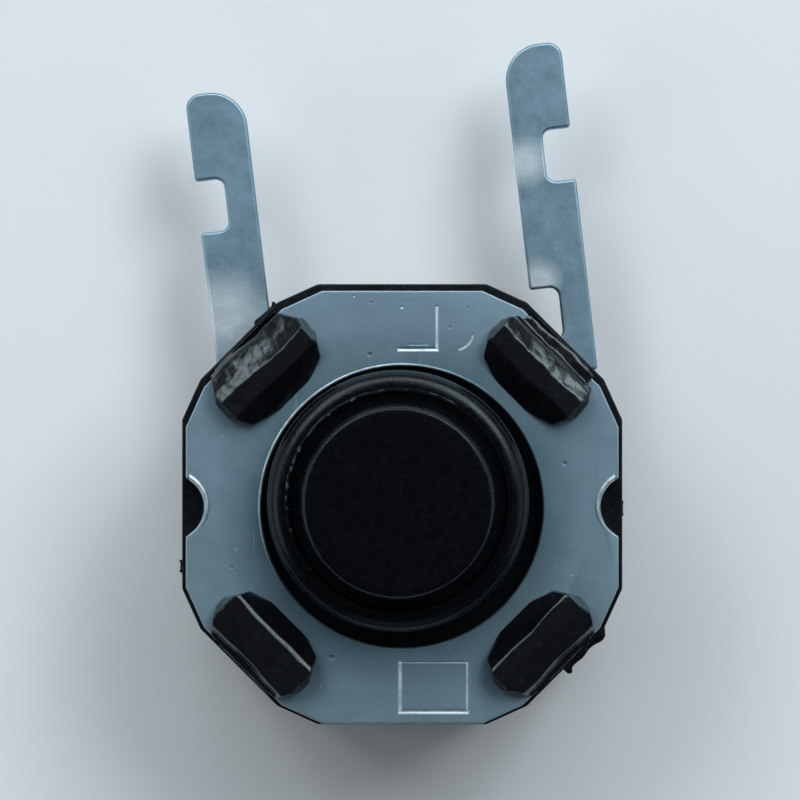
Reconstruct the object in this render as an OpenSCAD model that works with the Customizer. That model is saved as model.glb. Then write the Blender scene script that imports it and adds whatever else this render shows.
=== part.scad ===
// Miniature tactile push button switch, lying on its back with the button up.
// +Z is the way the button points, +Y is the side the two solder leads leave from.
// The origin is the centre of the housing's flat underside.

/* [Housing] */
// Width and depth of the square housing
body_w = 6.0; // [5.8:0.05:7.4]
// Height of the housing from its underside to the face under the cover
base_h = 3.2; // [3.0:0.05:4.2]
// Height of the switch chamber's floor above the underside
floor_h = 1.3; // [1.2:0.02:1.6]
// Distance from the corner at which the outline starts to turn
corner_long = 1.85; // [1.5:0.05:2.2]
// Distance from the corner at which the outline's middle facet starts
corner_mid = 1.30; // [1.0:0.05:1.4]
// How far the middle facet's ends stand back from the sides
corner_drop = 0.25; // [0.15:0.01:0.35]

/* [Corner stakes] */
// Width of each corner post along its facet
post_w = 1.0; // [0.7:0.02:1.25]
// Depth of each corner post towards the middle
post_depth = 0.5; // [0.35:0.01:0.6]
// How far the post stands back from the corner facet
post_back = 0.04; // [0.02:0.01:0.1]
// Gap between a post and the cover's corner
post_gap = 0.04; // [0.03:0.01:0.08]
// Length of the melted head on a post
head_len = 1.63; // [1.3:0.01:1.9]
// How far the melted head reaches in over the cover
head_reach = 0.97; // [0.7:0.01:1.1]
// Height of the melted head above the cover
head_h = 0.33; // [0.25:0.01:0.45]
// Run of the head's inner slope
head_slope = 0.345; // [0.2:0.005:0.4]
// Width of the head's outer bevel
head_bevel = 0.36; // [0.25:0.01:0.4]
// Length that each cut corner takes off the head's inner side
head_cut = 0.3; // [0.15:0.01:0.35]

/* [Cover] */
// Thickness of the metal cover
cover_t = 0.3; // [0.2:0.01:0.4]
// Width of the housing's rim that the cover leaves bare
cover_inset = 0.065; // [0.05:0.005:0.15]
// How far the cover sits off centre, away from the leads
cover_shift = 0.035; // [0:0.005:0.05]
// Radius of the round notch in each side of the cover
notch_r = 0.44; // [0.3:0.01:0.55]
// Depth of that notch
notch_depth = 0.25; // [0.15:0.01:0.35]

/* [Button] */
// Diameter of the button's stem
stem_d = 3.54; // [2.9:0.02:4.0]
// Gap all round between the stem and the cover's hole
stem_gap = 0.145; // [0.1:0.005:0.2]
// Rounding of the shoulder's edge
shoulder_round = 0.24; // [0.1:0.01:0.3]
// Height of the shoulder above the cover
shoulder_h = 0.6; // [0.4:0.02:1.0]
// Height of the button's top above the cover
top_h = 1.5; // [1.2:0.05:3.8]
// Width of the flat ring between the shoulder's rounding and the foot of the cone
cone_land = 0.18; // [0.02:0.01:0.25]
// How much the cone narrows on its radius
cone_taper = 0.085; // [0.03:0.005:0.3]
// Rounding of the top's edge
top_round = 0.05; // [0.02:0.01:0.1]
// How far the stem leans on its play towards -X and +Y
stem_play = 0.055; // [0:0.005:0.08]
// How far the flange laps under the cover's hole
flange_lap = 0.33; // [0.25:0.01:0.45]
// Thickness of the flange
flange_t = 0.6; // [0.4:0.02:0.8]
// Gap between the flange and the chamber's wall
flange_gap = 0.21; // [0.15:0.01:0.3]
// Width of the two keys that stop the button turning
key_w = 0.8; // [0.6:0.02:1.0]
// How far each key stands out from the flange
key_out = 0.36; // [0.28:0.01:0.42]
// Gap on each side of a key in its slot
key_gap = 0.1; // [0.08:0.01:0.15]
// Diameter of the foot that presses the dome
foot_d = 1.4; // [1.0:0.02:1.8]
// Travel of the button
travel = 0.25; // [0.15:0.01:0.26]
// Gap between the flange and the cover at rest
rest_gap = 0.03; // [0.02:0.005:0.05]

/* [Snap dome] */
// Thickness of the dome's sheet
dome_t = 0.08; // [0.05:0.005:0.1]
// Rise of the dome's underside above the chamber's floor
dome_rise = 0.36; // [0.34:0.01:0.5]
// Gap between the dome's rim and the chamber's wall
dome_gap = 0.3; // [0.2:0.01:0.4]
// Gap between the dome's crown and the button's foot at rest
foot_gap = 0.01; // [0.005:0.005:0.02]

/* [Leads] */
// Thickness of the lead strip
lead_t = 0.3; // [0.2:0.01:0.4]
// Width of the lead strip
lead_w = 0.82; // [0.65:0.01:1.0]
// Distance between the two leads where they leave the housing
lead_pitch = 4.5; // [4.3:0.05:4.6]
// How far the right lead's tip stands past its root line
right_len = 3.92; // [3.3:0.02:5.0]
// How far the left lead's tip stands past its root line
left_len = 3.25; // [2.8:0.02:5.0]
// Angle that the right lead leans towards -X
right_lean = 6.5; // [0:0.5:10]
// Angle that the left lead leans towards -X
left_lean = 6.8; // [0:0.5:10]
// How far the leads' root line lies inside the housing's edge
root_in = 0.5; // [0.4:0.02:0.6]
// Length of each notch in a lead's edge
cut_len = 0.73; // [0.5:0.01:0.9]
// Depth of each notch in a lead's edge
cut_depth = 0.4; // [0.2:0.01:0.45]
// Distance from the tip to the outer notch
outer_cut = 1.21; // [1.0:0.01:1.3]
// Distance from the tip to the inner notch
inner_cut = 3.41; // [2.4:0.01:3.6]
// Rounding of the notches' inner corners
cut_round = 0.13; // [0.08:0.01:0.18]
// Rounding of the notches' outer corners
cut_lip = 0.06; // [0.02:0.01:0.1]
// Rounding of the tip's inner corner
inner_round = 0.5; // [0.3:0.01:0.6]
// Rounding of the tip's outer corner
outer_round = 0.2; // [0.1:0.01:0.3]
// How much narrower the strip is inside the housing
neck = 0.14; // [0.1:0.01:0.2]
// How far inside the root line the strip narrows
neck_start = 0.28; // [0.2:0.01:0.4]
// How far the strip runs into the housing past the root line
strip_end = 0.7; // [0.65:0.01:0.8]

/* [Contacts] */
// Diameter of the middle contact's pad
pad_d = 1.0; // [0.7:0.02:1.3]
// Height of the middle contact's raised point
point_h = 0.07; // [0.04:0.01:0.1]
// Width of the ring-shaped contact under the dome's rim
ring_w = 0.45; // [0.35:0.01:0.6]
// How far the ring stands out past the dome's rim
ring_lap = 0.1; // [0.05:0.01:0.15]
// Part of a full turn that the ring takes up
ring_sweep = 140; // [100:5:150]
// Depth of plastic over the arm to the middle contact
arm_cover = 0.1; // [0.08:0.01:0.14]
// Width of the arm to the middle contact
arm_w = 0.5; // [0.35:0.01:0.7]

/* [Hidden] */
$fn = 72;
plastic = "#0b0a10";
steel = "#8b9aa3";
spring = "#c3c0b4";
tinned = "#8f9aa6";
arc_steps = 5;
ring_steps = 24;
dome_steps = 16;
hair = 0.01;
over = 1;
head_back = 0.03;
head_edge = 0.04;
head_step = 0.1;
head_step_h = 0.13;

half = body_w / 2;
facet_r = (2 * half - corner_mid - corner_drop) / sqrt(2);
cover_z = base_h + cover_t;
hole_d = stem_d + 2 * stem_gap;
flange_d = hole_d + 2 * flange_lap;
chamber_d = flange_d + 2 * flange_gap;
flange_z = base_h - rest_gap - flange_t;
dome_d = chamber_d - 2 * dome_gap;
crown_z = floor_h + dome_rise + dome_t;
dome_r = (pow(dome_d / 2, 2) + pow(dome_rise, 2)) / (2 * dome_rise);
post_out = facet_r - post_back;
post_in = post_out - post_depth;
head_out = post_out - head_back;
head_in = head_out - head_reach;
root_y = half - root_in;
lead_z = floor_h - lead_t;
ring_out = dome_d / 2 + ring_lap;
arm_t = lead_t - arm_cover;

function unit(v) = v / norm(v);
function turn(a) = a > 180 ? a - 360 : (a < -180 ? a + 360 : a);

// Points that round the corner b, which is [x, y, radius], between its neighbours a and c
function corner_points(a, b, c) =
    b[2] == 0 ? [[b.x, b.y]] :
    let (p = [b.x, b.y],
         u = unit([a.x, a.y] - p),
         v = unit([c.x, c.y] - p),
         opening = acos(u * v) / 2,
         centre = p + unit(u + v) * b[2] / sin(opening),
         first = p + u * b[2] / tan(opening) - centre,
         last = p + v * b[2] / tan(opening) - centre,
         start = atan2(first.y, first.x),
         sweep = turn(atan2(last.y, last.x) - start))
    [for (i = [0:arc_steps]) centre + b[2] * [cos(start + sweep * i / arc_steps), sin(start + sweep * i / arc_steps)]];

// Outline through corners that are [x, y, radius]
function rounded(corners) =
    let (n = len(corners))
    [for (i = [0:n - 1]) each corner_points(corners[(i + n - 1) % n], corners[i], corners[(i + 1) % n])];

// Square outline with three-facet corners, for a half width h
function body_outline(h) =
    let (corner = [[h - corner_long, h], [h - corner_mid, h - corner_drop],
                   [h - corner_drop, h - corner_mid], [h, h - corner_long]],
         back = [for (i = [3:-1:0]) corner[i]])
    concat(corner, [for (p = back) [p.x, -p.y]], [for (p = corner) [-p.x, -p.y]], [for (p = back) [-p.x, p.y]]);

// Places its children at each corner, with +Y pointing out through the corner
module each_corner() {
    for (a = [45:90:315]) rotate(a - 90) children();
}

// Bar along X with the section given as [y, z] points
module loaf(points, length) {
    rotate([90, 0, 90]) translate([0, 0, -length / 2]) linear_extrude(length) polygon(points);
}

// ---- leads and contacts ----

// Outline of a lead strip of the given length, outer edge on +X, root line at y = 0
function strip_outline(length) =
    let (w = lead_w / 2,
         outer_top = length - outer_cut,
         inner_top = length - inner_cut)
    rounded([[-w, length, inner_round], [-w, inner_top, cut_lip], [-w + cut_depth, inner_top, cut_round],
             [-w + cut_depth, min(inner_top - cut_len, -strip_end), 0],
             [w - neck, -strip_end, 0], [w - neck, -neck_start, cut_round], [w, 0, cut_round],
             [w, outer_top - cut_len, cut_lip], [w - cut_depth, outer_top - cut_len, cut_round],
             [w - cut_depth, outer_top, cut_round], [w, outer_top, cut_lip], [w, length, outer_round]]);

module strip(length) {
    linear_extrude(lead_t) polygon(strip_outline(length));
}

module right_strip() {
    translate([lead_pitch / 2, root_y, lead_z]) rotate(right_lean) strip(right_len);
}

module left_strip() {
    translate([-lead_pitch / 2, root_y, lead_z]) rotate(left_lean) mirror([1, 0, 0]) strip(left_len);
}

// Flat bar between two points on the floor plan
module flat_bar(from, to, width, height) {
    span = to - from;
    translate([from.x, from.y, lead_z]) rotate(atan2(span.y, span.x))
        translate([0, -width / 2, 0]) cube([norm(span), width, height]);
}

module right_terminal() {
    root = [lead_pitch / 2 + neck, root_y - strip_end / 2];
    color(tinned) union() {
        right_strip();
        flat_bar(root, [0, 0], arm_w, arm_t);
        translate([0, 0, lead_z]) cylinder(d = pad_d, h = lead_t);
        translate([0, 0, lead_z]) cylinder(d = pad_d / 2, h = lead_t + point_h);
    }
}

// Half ring under the dome's rim, on the -X side
module contact_ring() {
    inner = ring_out - ring_w;
    function at(r, i) = let (a = 180 + ring_sweep * (i / ring_steps - 1 / 2)) r * [cos(a), sin(a)];
    translate([0, 0, lead_z]) linear_extrude(lead_t) polygon(concat(
        [for (i = [0:ring_steps]) at(ring_out, i)],
        [for (i = [ring_steps:-1:0]) at(inner, i)]));
}

module left_terminal() {
    root = [-lead_pitch / 2, root_y - strip_end / 2];
    color(tinned) union() {
        left_strip();
        flat_bar(root, unit(root) * (ring_out - ring_w / 2), arm_w, lead_t);
        contact_ring();
    }
}

// ---- housing ----

module stake_head() {
    w = head_len / 2;
    outer_cut_in = head_cut * 2 / 3;
    intersection() {
        translate([0, 0, cover_z]) loaf([[head_in, 0], [head_in + head_slope, head_h],
            [head_out - head_bevel, head_h], [head_out - head_step, head_step_h], [head_out, head_edge],
            [head_out, 0]], head_len + over);
        translate([0, 0, cover_z - over]) linear_extrude(head_h + 2 * over) polygon([
            [-w + head_cut, head_in], [w - head_cut, head_in], [w, head_in + head_cut],
            [w, head_out - head_cut], [w - outer_cut_in, head_out], [-w + outer_cut_in, head_out],
            [-w, head_out - head_cut], [-w, head_in + head_cut]]);
    }
}

module post(grow) {
    translate([-post_w / 2 - grow, post_in - grow, base_h - hair])
        cube([post_w + 2 * grow, post_depth + 2 * grow, cover_t + 2 * hair]);
}

module key_slots() {
    reach = flange_d / 2 + key_out + key_gap;
    translate([-stem_play - key_w / 2 - key_gap, stem_play - reach, flange_z - travel - key_gap])
        cube([key_w + 2 * key_gap, 2 * reach, base_h]);
}

module housing() {
    color(plastic) union() {
        difference() {
            linear_extrude(base_h) polygon(body_outline(half));
            translate([0, 0, floor_h]) cylinder(d = chamber_d, h = base_h);
            key_slots();
            left_terminal();
            right_terminal();
        }
        each_corner() {
            post(0);
            stake_head();
        }
    }
}

// ---- cover ----

module cover_plate() {
    h = half - cover_inset;
    color(steel) difference() {
        translate([0, -cover_shift, base_h]) linear_extrude(cover_t) polygon(body_outline(h));
        translate([0, -cover_shift, base_h - over]) cylinder(d = hole_d, h = cover_t + 2 * over);
        for (side = [-1, 1])
            translate([side * (h + notch_r - notch_depth), -cover_shift, base_h - over])
                cylinder(r = notch_r, h = cover_t + 2 * over);
        each_corner()
            translate([-post_w / 2 - post_gap, post_in - post_gap, base_h - over])
                cube([post_w + 2 * post_gap, 2 * over, cover_t + 2 * over]);
    }
}

// ---- button ----

module stem() {
    r = stem_d / 2;
    shoulder = cover_z + shoulder_h;
    top = cover_z + top_h;
    foot = r - shoulder_round - cone_land;
    head = foot - cone_taper;
    rotate_extrude() polygon(rounded([[0, flange_z, 0], [r, flange_z, 0], [r, shoulder, shoulder_round],
        [foot, shoulder, 0], [head, top, top_round], [0, top, 0]]));
}

module button() {
    keys = flange_d + 2 * key_out;
    color(plastic) translate([-stem_play, stem_play, 0]) union() {
        stem();
        translate([0, 0, flange_z]) cylinder(d = flange_d, h = flange_t);
        translate([-key_w / 2, -keys / 2, flange_z]) cube([key_w, keys, flange_t]);
        translate([stem_play, -stem_play, crown_z + foot_gap])
            cylinder(d = foot_d, h = flange_z - crown_z);
    }
}

// ---- snap dome ----

module snap_dome() {
    spread = asin(dome_d / 2 / dome_r);
    function at(r, i) = let (a = spread * i / dome_steps) [r * sin(a), r * cos(a)];
    color(spring) translate([0, 0, floor_h + dome_rise - dome_r]) rotate_extrude() polygon(concat(
        [for (i = [0:dome_steps]) at(dome_r, i)],
        [for (i = [dome_steps:-1:0]) at(dome_r + dome_t, i)]));
}

housing();
cover_plate();
button();
snap_dome();
left_terminal();
right_terminal();
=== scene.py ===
import math
from contextlib import contextmanager

import bmesh
import bpy
from bpy.props import FloatProperty, FloatVectorProperty, PointerProperty
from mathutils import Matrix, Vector, noise


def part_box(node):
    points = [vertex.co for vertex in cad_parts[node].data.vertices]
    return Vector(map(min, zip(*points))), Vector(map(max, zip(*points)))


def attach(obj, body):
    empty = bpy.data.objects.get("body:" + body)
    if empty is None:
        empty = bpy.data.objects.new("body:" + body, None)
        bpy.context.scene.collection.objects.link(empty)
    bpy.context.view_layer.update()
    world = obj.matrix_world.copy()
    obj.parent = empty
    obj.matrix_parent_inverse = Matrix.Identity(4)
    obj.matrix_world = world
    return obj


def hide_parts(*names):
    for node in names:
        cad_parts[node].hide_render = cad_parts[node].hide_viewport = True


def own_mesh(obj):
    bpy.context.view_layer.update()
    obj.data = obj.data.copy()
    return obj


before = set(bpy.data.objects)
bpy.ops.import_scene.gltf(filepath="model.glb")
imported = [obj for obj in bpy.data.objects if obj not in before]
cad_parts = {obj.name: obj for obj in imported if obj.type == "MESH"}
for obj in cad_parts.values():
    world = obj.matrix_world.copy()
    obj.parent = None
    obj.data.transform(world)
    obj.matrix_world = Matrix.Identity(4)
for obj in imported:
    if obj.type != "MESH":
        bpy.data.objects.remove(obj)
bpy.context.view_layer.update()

bl_info = {
    "name": "Tactile Push Button Switch",
    "version": (1, 0, 0),
    "blender": (4, 5, 0),
    "location": "View3D > Sidebar > Switch",
    "description": "Builds a small tactile push button switch round its fixed frame",
    "category": "Add Mesh",
}

# Pieces are modelled in millimetres and brought to metres by finish_piece.
MM = 0.001


# ---- the frame, in millimetres ----


def node_box(name):
    """Lowest and highest corner of a frame node."""
    low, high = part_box(name)
    return low / MM, high / MM


HOUSING_HIGH = node_box("housing")[1]
COVER_LOW, COVER_HIGH = node_box("cover_plate")
BUTTON_LOW, BUTTON_HIGH = node_box("button")
DOME_LOW, DOME_HIGH = node_box("snap_dome")
LEFT_LOW, LEFT_HIGH = node_box("left_terminal")
RIGHT_HIGH = node_box("right_terminal")[1]

HALF = HOUSING_HIGH.y
BASE_TOP = COVER_LOW.z
COVER_TOP = COVER_HIGH.z
FLOOR_Z = DOME_LOW.z
STEM_CENTRE = ((BUTTON_LOW + BUTTON_HIGH) / 2).xy
LEAD_ROOT = HALF - 0.5

# How near two points have to be to count as one, and how far a cutting tool reaches past what it cuts
TOUCH = 1e-3
PAST = 1


# ---- modelling helpers ----


def clear_selection():
    """Object mode with nothing selected."""
    if bpy.context.mode != "OBJECT":
        bpy.ops.object.mode_set(mode="OBJECT")
    bpy.ops.object.select_all(action="DESELECT")


def take(obj):
    """Makes obj the only selected and active object."""
    clear_selection()
    obj.select_set(True)
    bpy.context.view_layer.objects.active = obj


def name_piece(name):
    """Names the object that a primitive operator has just added."""
    obj = bpy.context.active_object
    obj.name = name
    obj.data.name = name
    bpy.ops.object.transform_apply(location=True, rotation=True, scale=True)
    return obj


def add_block(name, low, high):
    """A box between two corners."""
    low, high = Vector(low), Vector(high)
    clear_selection()
    bpy.ops.mesh.primitive_cube_add(size=1, location=(low + high) / 2, scale=high - low)
    return name_piece(name)


def add_rod(name, radius, low, high, centre=(0, 0), sides=96):
    """An upright cylinder between two heights."""
    clear_selection()
    middle = (centre[0], centre[1], (low + high) / 2)
    bpy.ops.mesh.primitive_cylinder_add(vertices=sides, radius=radius, depth=high - low, location=middle)
    return name_piece(name)


def add_ring(name, major, minor, place, lean, segments):
    """A torus round an upright line, leaned a little."""
    clear_selection()
    bpy.ops.mesh.primitive_torus_add(location=place, rotation=lean, major_radius=major, minor_radius=minor,
                                     major_segments=segments, minor_segments=36)
    return name_piece(name)


def place_piece(obj, x, y, lean=0.0):
    """Leans a piece about the upright line through the origin and moves it on the XY plane."""
    take(obj)
    obj.rotation_euler.z = lean
    obj.location = (x, y, 0)
    bpy.ops.object.transform_apply(location=True, rotation=True, scale=False)


@contextmanager
def editing(obj, kind="VERT"):
    """Edit mode on obj in one select mode, with nothing selected."""
    take(obj)
    bpy.ops.object.mode_set(mode="EDIT")
    bpy.ops.mesh.select_mode(type=kind)
    bpy.ops.mesh.select_all(action="DESELECT")
    yield
    bpy.ops.object.mode_set(mode="OBJECT")


def pick(obj, kind, test):
    """Selects the vertices, edges or faces that pass a test, in edit mode."""
    mesh = bmesh.from_edit_mesh(obj.data)
    bpy.ops.mesh.select_all(action="DESELECT")
    for item in {"VERT": mesh.verts, "EDGE": mesh.edges, "FACE": mesh.faces}[kind]:
        if test(item):
            item.select_set(True)
    mesh.select_flush_mode()
    bmesh.update_edit_mesh(obj.data)


def slice_off(obj, point, normal):
    """Cuts away what lies beyond a plane and closes the cut."""
    with editing(obj):
        bpy.ops.mesh.select_all(action="SELECT")
        bpy.ops.mesh.bisect(plane_co=point, plane_no=normal, use_fill=True, clear_outer=True, threshold=1e-5)


def combine(obj, tool, operation="DIFFERENCE"):
    """Cuts obj with a tool, or joins the tool to it, and removes the tool."""
    take(obj)
    cut = obj.modifiers.new("combine", "BOOLEAN")
    cut.operation = operation
    cut.solver = "EXACT"
    cut.object = tool
    bpy.ops.object.modifier_apply(modifier=cut.name)
    bpy.data.objects.remove(tool, do_unlink=True)


def round_edges(obj, width, segments, angle):
    """Rounds every edge that turns by more than an angle in degrees."""
    take(obj)
    bevel = obj.modifiers.new("round", "BEVEL")
    bevel.width = width
    bevel.segments = segments
    bevel.limit_method = "ANGLE"
    bevel.angle_limit = math.radians(angle)
    bevel.miter_outer = "MITER_ARC"
    bpy.ops.object.modifier_apply(modifier=bevel.name)


def bevel_edges(obj, test, width, segments):
    """Rounds the edges that pass a test."""
    with editing(obj, "EDGE"):
        pick(obj, "EDGE", test)
        bpy.ops.mesh.bevel(offset=width, segments=segments, affect="EDGES", clamp_overlap=False)


def copy_piece(obj, name):
    """A copy of a piece with its own mesh."""
    take(obj)
    bpy.ops.object.duplicate(linked=False)
    made = bpy.context.active_object
    made.name = made.data.name = name
    return made


def mend(obj, distance=1e-4):
    """Merges doubles and points every face outwards."""
    with editing(obj):
        bpy.ops.mesh.select_all(action="SELECT")
        bpy.ops.mesh.remove_doubles(threshold=distance)
        bpy.ops.mesh.normals_make_consistent(inside=False)


def finish_piece(obj, material, body, slot, *nodes, smooth=30):
    """Brings a piece to metres, smooths it, paints it and fixes it to its body."""
    mend(obj)
    take(obj)
    obj.scale = (MM, MM, MM)
    bpy.ops.object.transform_apply(location=True, rotation=True, scale=True)
    bpy.ops.object.shade_smooth_by_angle(angle=math.radians(smooth))
    level = obj.modifiers.new("level", "WEIGHTED_NORMAL")
    level.keep_sharp = True
    bpy.ops.object.modifier_apply(modifier=level.name)
    obj.data.materials.clear()
    obj.data.materials.append(material)
    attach(obj, body)
    if nodes:
        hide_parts(*nodes)
    return obj


# ---- material helpers ----


# Colours of the shine on black plastic, of plastic that is rubbed, of dust on it and of torn plastic
COOL = (0.80, 0.96, 1.0)
WORN_PLASTIC = (0.030, 0.034, 0.038)
DUST = (0.09, 0.095, 0.10)
TORN_PLASTIC = (0.016, 0.022, 0.025)


class Finish:
    """A node material on one Principled shader, with patterns measured in millimetres."""

    def __init__(self, name, roughness, metallic=0.0, specular=0.5, cast=(1.0, 1.0, 1.0)):
        self.material = bpy.data.materials.new(name)
        self.material.use_nodes = True
        self.tree = self.material.node_tree
        self.shader = self.tree.nodes["Principled BSDF"]
        self.shader.inputs["Roughness"].default_value = roughness
        self.shader.inputs["Metallic"].default_value = metallic
        self.shader.inputs["Specular IOR Level"].default_value = specular
        self.shader.inputs["Specular Tint"].default_value = (*cast, 1.0)
        self.place = self.tree.nodes.new("ShaderNodeTexCoord").outputs["Object"]

    def node(self, kind, **inputs):
        """Adds a node and sets or links its inputs by name."""
        made = self.tree.nodes.new(kind)
        for name, value in inputs.items():
            self.feed(made.inputs[name.replace("_", " ")], value)
        return made

    def feed(self, socket, value):
        """Links an output to a socket, or sets the socket's value."""
        if isinstance(value, bpy.types.NodeSocket):
            self.tree.links.new(value, socket)
        else:
            socket.default_value = value

    def coords(self, stretch=(1, 1, 1), turn=(0, 0, 0), shift=(0, 0, 0)):
        """Object coordinates in millimetres, stretched, turned and shifted."""
        scale = tuple(s / MM for s in stretch)
        rotation = tuple(math.radians(t) for t in turn)
        made = self.node("ShaderNodeMapping", Vector=self.place, Scale=scale, Rotation=rotation,
                         Location=shift)
        return made.outputs["Vector"]

    def noise(self, scale, detail=3.0, roughness=0.5, **placing):
        """Cloudy noise, with a scale in cells for each millimetre."""
        made = self.node("ShaderNodeTexNoise", Vector=self.coords(**placing), Scale=scale, Detail=detail,
                         Roughness=roughness)
        return made.outputs["Fac"]

    def cells(self, scale, **placing):
        """Distance to the nearest of a field of points."""
        made = self.node("ShaderNodeTexVoronoi", Vector=self.coords(**placing), Scale=scale)
        return made.outputs["Distance"]

    def patch(self, x, y, reach, edge=0.24):
        """A round patch on the XY plane, full at the middle and fading to nothing at its reach."""
        place = self.coords(stretch=(1 / reach, 1 / reach, 0), shift=(-x / reach, -y / reach, 0))
        ball = self.node("ShaderNodeTexGradient", Vector=place)
        ball.gradient_type = "SPHERICAL"
        return self.ramp(ball.outputs["Fac"], (0.02, 0.0), (edge, 1.0))

    def ramp(self, value, *stops):
        """Maps a value through (position, grey) stops."""
        made = self.node("ShaderNodeValToRGB", Fac=value)
        band = made.color_ramp
        while len(band.elements) < len(stops):
            band.elements.new(0.5)
        for element, (position, grey) in zip(band.elements, stops):
            element.position = position
            element.color = (grey, grey, grey, 1)
        return made.outputs["Color"]

    def blend(self, share, low, high):
        """Mixes two colours by a share."""
        made = self.tree.nodes.new("ShaderNodeMix")
        made.data_type = "RGBA"
        self.feed(made.inputs["Factor"], share)
        self.feed(made.inputs["A"], low)
        self.feed(made.inputs["B"], high)
        return made.outputs["Result"]

    def maths(self, operation, first, second):
        """One step of arithmetic."""
        made = self.tree.nodes.new("ShaderNodeMath")
        made.operation = operation
        self.feed(made.inputs[0], first)
        self.feed(made.inputs[1], second)
        return made.outputs[0]

    def between(self, value, low, high):
        """Stretches a 0 to 1 value to run from low to high."""
        made = self.node("ShaderNodeMapRange", Value=value, To_Min=low, To_Max=high)
        return made.outputs["Result"]

    def colour(self, value):
        self.feed(self.shader.inputs["Base Color"], value)

    def gloss(self, value):
        self.feed(self.shader.inputs["Roughness"], value)

    def relief(self, *layers):
        """Stacks bumps that are (height, depth in millimetres)."""
        normal = None
        for height, depth in layers:
            made = self.node("ShaderNodeBump", Height=height, Strength=1.0, Distance=depth * MM)
            if normal:
                self.feed(made.inputs["Normal"], normal)
            normal = made.outputs["Normal"]
        self.feed(self.shader.inputs["Normal"], normal)


def tint(colour, factor=1.0):
    """A colour with its alpha, made lighter or darker."""
    return tuple(c * factor for c in colour[:3]) + (1.0,)


def plastic_finish(name, colour, roughness, shine, wear):
    """Moulded black plastic: fine grain, faint flow marks, grey dust and rubbed spots."""
    mat = Finish(name, roughness, specular=shine, cast=COOL)
    flow = mat.noise(1.6, detail=4.0, roughness=0.6)
    dust = mat.ramp(mat.noise(26.0, detail=2.0, roughness=0.7, shift=(5, 1, 3)), (0.62, 0.0), (0.80, 1.0))
    rub = mat.ramp(mat.noise(5.5, detail=6.0, roughness=0.72, shift=(2, 8, 4)), (0.52, 0.0), (0.74, 1.0))
    base = mat.blend(flow, tint(colour, 0.6), tint(colour, 1.5))
    base = mat.blend(mat.maths("MULTIPLY", rub, wear), base, tint(WORN_PLASTIC))
    mat.colour(mat.blend(mat.maths("MULTIPLY", dust, wear), base, tint(DUST)))
    mat.gloss(mat.between(mat.noise(9.0, detail=4.0, shift=(1, 1, 7)), roughness - 0.1, roughness + 0.14))
    mat.relief((mat.noise(34.0, detail=4.0, roughness=0.65), 0.0022), (flow, 0.0033))
    return mat.material


# How far in millimetres the painted shade round the button reaches, the painted shade beside the heads with
# its middle and reach, and its colour
HOLE_SHADE_REACH = 2.6
HEAD_SHADE_SPOTS = [(-1.50, -1.98, 0.85), (1.45, -2.02, 0.8), (-2.35, 1.55, 0.5)]
SHADE_COLOUR = (0.055, 0.125, 0.165)

# Colour of the painted highlight on the sheet's rolled edges, burrs and stamped lines and dents, and heights
# from the cover's top in millimetres with how strongly it is painted there
EDGE_HIGHLIGHT = (0.70, 0.79, 0.83)
EDGE_HIGHLIGHT_LEVELS = [(-0.07, 0.0), (-0.035, 1.0), (-0.009, 1.0), (-0.003, 0.0), (0.004, 0.0), (0.02, 1.0)]


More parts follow.
